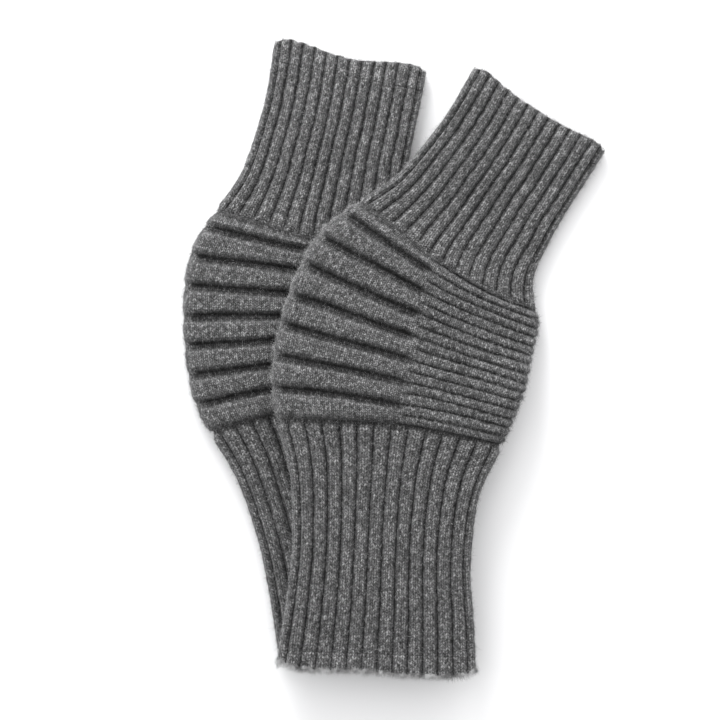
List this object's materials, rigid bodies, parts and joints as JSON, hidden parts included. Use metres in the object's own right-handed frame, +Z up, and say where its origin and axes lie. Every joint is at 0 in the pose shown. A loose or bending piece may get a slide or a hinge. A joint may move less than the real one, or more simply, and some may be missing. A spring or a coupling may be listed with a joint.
{
  "type": "knee warmers",
  "caption": "Knitted tube warmers laid one over the other, ribbed cuffs at both ends, padded welts and fine cross ribs at a bend section for knee or elbow.",
  "frame": {"origin": "middle of the pair's outline, on the table that it lies on", "axes": "+Z up off the table, +Y towards the upper mouths, +X towards the upper sleeve's back fold"},
  "size_m": [0.2227, 0.3324, 0.0288],
  "materials": {
    "rib_knit": "heather grey wool, 2x1 rib, matt and slightly fuzzy",
    "welt_knit": "heather grey wool, padded cross welts, matt and slightly fuzzy",
    "hem_knit": "heather grey wool, finished edge with loose surface fibre"
  },
  "bodies": {
    "rear_top": {"rear_upper_hem": "hem_knit", "rear_upper_cuff": "rib_knit", "rear_welt_1": "welt_knit", "rear_welt_2": "welt_knit", "rear_welt_3": "welt_knit", "rear_welt_4": "welt_knit", "rear_welt_5": "welt_knit", "rear_welt_6": "welt_knit", "rear_welt_7": "welt_knit", "rear_welt_8": "welt_knit", "rear_back_panel": "rib_knit"},
    "rear_lower": {"rear_lower_cuff": "rib_knit", "rear_lower_hem": "hem_knit"},
    "front_top": {"front_upper_hem": "hem_knit", "front_upper_cuff": "rib_knit", "front_welt_1": "welt_knit", "front_welt_2": "welt_knit", "front_welt_3": "welt_knit", "front_welt_4": "welt_knit", "front_welt_5": "welt_knit", "front_welt_6": "welt_knit", "front_welt_7": "welt_knit", "front_welt_8": "welt_knit", "front_back_panel": "rib_knit"},
    "front_lower": {"front_lower_cuff": "rib_knit", "front_lower_hem": "hem_knit"}
  },
  "joints": [
    {"name": "rear_bend", "type": "hinge", "parent": "rear_top", "child": "rear_lower", "pos_m": [-0.02, 0.0213, 0.007], "axis": [0, 0, 1], "range_deg": [-24, 15], "deforming": ["rear_welt_1", "rear_welt_2", "rear_welt_3", "rear_welt_4", "rear_welt_5", "rear_welt_6", "rear_welt_7", "rear_welt_8", "rear_back_panel"]},
    {"name": "front_lift", "type": "slide", "parent": "rear_top", "child": "front_top", "axis": [0, 0, 1], "range_m": [0, 0.12]},
    {"name": "front_bend", "type": "hinge", "parent": "front_top", "child": "front_lower", "pos_m": [0.0308, 0.0029, 0.0218], "axis": [0, 0, 1], "range_deg": [-30, 45], "deforming": ["front_welt_1", "front_welt_2", "front_welt_3", "front_welt_4", "front_welt_5", "front_welt_6", "front_welt_7", "front_welt_8", "front_back_panel"]}
  ]
}
